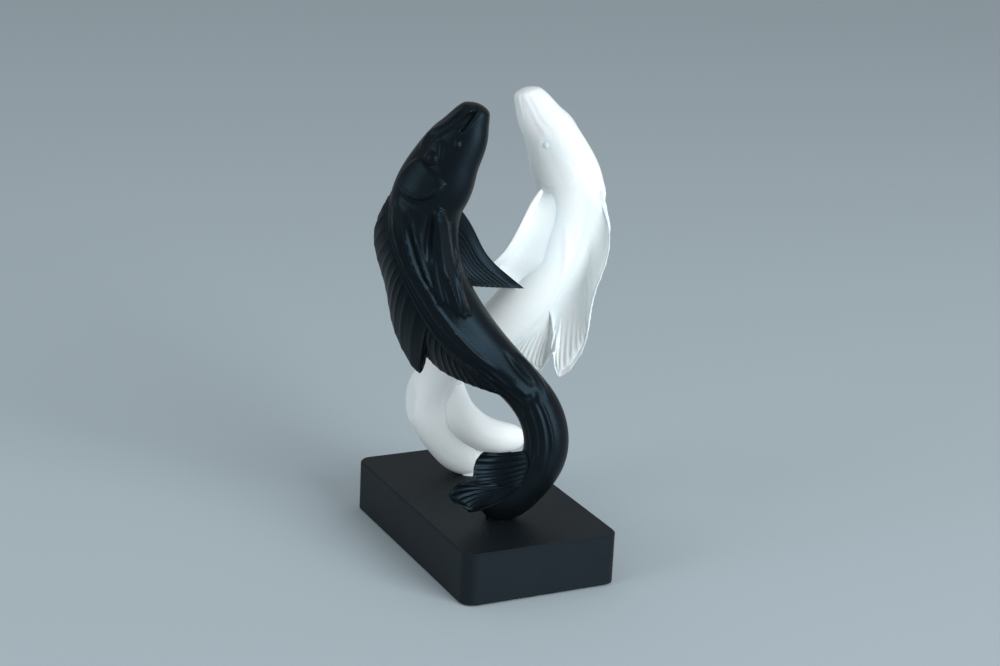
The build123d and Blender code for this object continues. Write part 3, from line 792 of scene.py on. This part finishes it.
# Shell that makes the tail fuller: centre, half width front to back and half height
shell_rows = [
    ((0.345, 0.80, 0.285), 0.16, 0.12),
    ((0.305, 0.84, 0.220), 0.26, 0.19),
    ((0.246, 0.90, 0.157), 0.37, 0.27),
    ((0.060, 0.96, 0.111), 0.37, 0.27),
    ((-0.350, 1.06, 0.097), 0.20, 0.21),
]
full_knots = spots([centre_shares for centre_shares, _, _ in shell_rows])
shell_step = np.linspace(0, 1, 72)
full_line = line_at(full_knots, shell_step)
full_way = unit(np.gradient(full_line, axis=0))
full_front = unit(np.array([0, 1, 0]) - full_way * full_way[:, 1:2])
full_up = np.cross(full_way, full_front)
size_knots = np.array([row[1:] for row in shell_rows]) * [body_width, body_depth]
full_sizes = smooth(steps_along(full_knots), size_knots, shell_step)
full_sizes = full_sizes * np.sqrt(np.clip(1 - np.abs(2 * shell_step - 1) ** 8, 0.01, 1))[:, None]
around = np.linspace(0, 2 * math.pi, 42, endpoint=False)
shell_across = full_front[:, None] * full_sizes[:, :1, None] * np.cos(around)[None, :, None]
shell_up = full_up[:, None] * full_sizes[:, 1:, None] * np.sin(around)[None, :, None]
fuller = tube(full_line[:, None] + shell_across + shell_up)

# The head is slimmer at the throat and leans a little to its back, and the outside of the curl bulges
narrow = np.interp(places, white_places, [0, 0.03, 0.075, 0.12, 0.10, 0.065, 0.045, 0.03, 0])
lean = np.interp(places, white_places, white_lean)
over_back = ((skin - centre[:, None]) * back[:, None]).sum(2)
white_skin = skin + back[:, None] * (narrow[:, None] * (depth - over_back) + lean[:, None])[:, :, None]
white_skin = white_skin + outward * swell(0.79, 0.05, white_curl_bulge, -158)[:, :, None]

# The skin rises softly towards the fuller shell, which softens the crease where it comes out
ramp_height, ramp_length, ramp_reach = 1.2, 1.6, 6.0
fuller_shape = BVHTree.FromPolygons([Vector(p) for p in fuller[0]], fuller[1])
for r in np.flatnonzero((places > 0.56) & (places < 0.96)):
    for c in range(strips):
        found, _, _, gap = fuller_shape.find_nearest(Vector(white_skin[r, c]), ramp_reach)
        if found is not None:
            white_skin[r, c] += outward[r, c] * ramp_height * math.exp(-gap / ramp_length)
white_skin[:, :, 2] = np.maximum(white_skin[:, :, 2], block_top + block_clearance)
eye_ring = np.searchsorted(places, 0.135)
eye_shift = back[eye_ring] * (narrow[eye_ring] * depth[eye_ring] + lean[eye_ring])
white_eyes = [(points + eye_shift, faces) for points, faces in eyes]
white = make_fish("white_fish", pair_turn + 180,
                  shells + white_fin + white_eyes
                  + [white_side_fin, side_web, white_tail, fuller, tube(white_skin)])
white.data.materials.append(white_plastic)

# Stage: a plain pale floor under an even pale sky, a large softbox at the front right, a weaker one at the
# front left, and the camera at the photograph's angle.

floor_size = 6
bpy.ops.mesh.primitive_plane_add(size=floor_size)
floor = bpy.context.object
floor.name = "floor"
floor_paint, tree, shader = new_material("pale_floor_paint", "#c0cdd1", Roughness=0.9)
floor.data.materials.append(floor_paint)

world = bpy.data.worlds.new("soft_daylight")
bpy.context.scene.world = world
world.use_nodes = True
tree = world.node_tree
sky = tree.nodes["Background"]
sky.inputs["Color"].default_value = linear("#e9eff5")
sky.inputs["Strength"].default_value = 0.46
seen = add(tree, "ShaderNodeBackground", {"Color": linear("#b3b8b4"), "Strength": 1.0})
path = add(tree, "ShaderNodeLightPath")
mixed = add(tree, "ShaderNodeMixShader", None, {0: (path, "Is Camera Ray"), 1: (sky, "Background"),
                                                2: (seen, "Background")})
tree.links.new(mixed.outputs["Shader"], tree.nodes["World Output"].inputs["Surface"])

# The camera is fitted to the block's corners. Its focal length and its shift are in pixels of the photograph
azimuth, elevation, roll = math.radians(63.29), math.radians(17.2), math.radians(2.81)
distance = 753.8 * mm
focal = 2042.0
off_x, off_y = -16.7, -161.2
photo_width = 1000
sensor_width = 36
to_camera = Vector((math.sin(azimuth) * math.cos(elevation), -math.cos(azimuth) * math.cos(elevation),
                    math.sin(elevation)))
right = Vector((math.cos(azimuth), math.sin(azimuth), 0))
up = to_camera.cross(right)
picture_right = right * math.cos(roll) + up * math.sin(roll)
picture_up = up * math.cos(roll) - right * math.sin(roll)
stand = (to_camera * distance - picture_right * (off_x * distance / focal)
         - picture_up * (off_y * distance / focal) + Vector((0, 0, block_top * mm)))
camera_data = bpy.data.cameras.new("camera")
camera_data.sensor_width = sensor_width
camera_data.lens = sensor_width * focal / photo_width
camera = bpy.data.objects.new("camera", camera_data)
bpy.context.scene.collection.objects.link(camera)
turning = Matrix((picture_right, picture_up, to_camera)).transposed().to_4x4()
turning.translation = stand
camera.matrix_world = turning
bpy.context.scene.camera = camera

# Softboxes: how far to the right, above and in front of the fish they stand, their size in metres and watts
target = Vector((0, 0, 80 * mm))
level_front = Vector((math.sin(azimuth), -math.cos(azimuth), 0))
for name, across, upward, forward, size, power in (
    ("key_softbox", 1.25, 0.5, 1.15, 1.1, 30.0),
    ("fill_softbox", -1.3, 0.5, 0.9, 0.8, 7.0),
):
    lamp_data = bpy.data.lights.new(name, "AREA")
    lamp_data.shape = "SQUARE"
    lamp_data.size = size
    lamp_data.energy = power
    lamp_data.color = linear("#f5f9ff")[:3]
    lamp = bpy.data.objects.new(name, lamp_data)
    bpy.context.scene.collection.objects.link(lamp)
    lamp.location = target + right * across + Vector((0, 0, upward)) + level_front * forward
    lamp.rotation_euler = (target - lamp.location).to_track_quat("-Z", "Y").to_euler()

bpy.context.scene.view_settings.view_transform = "Standard"
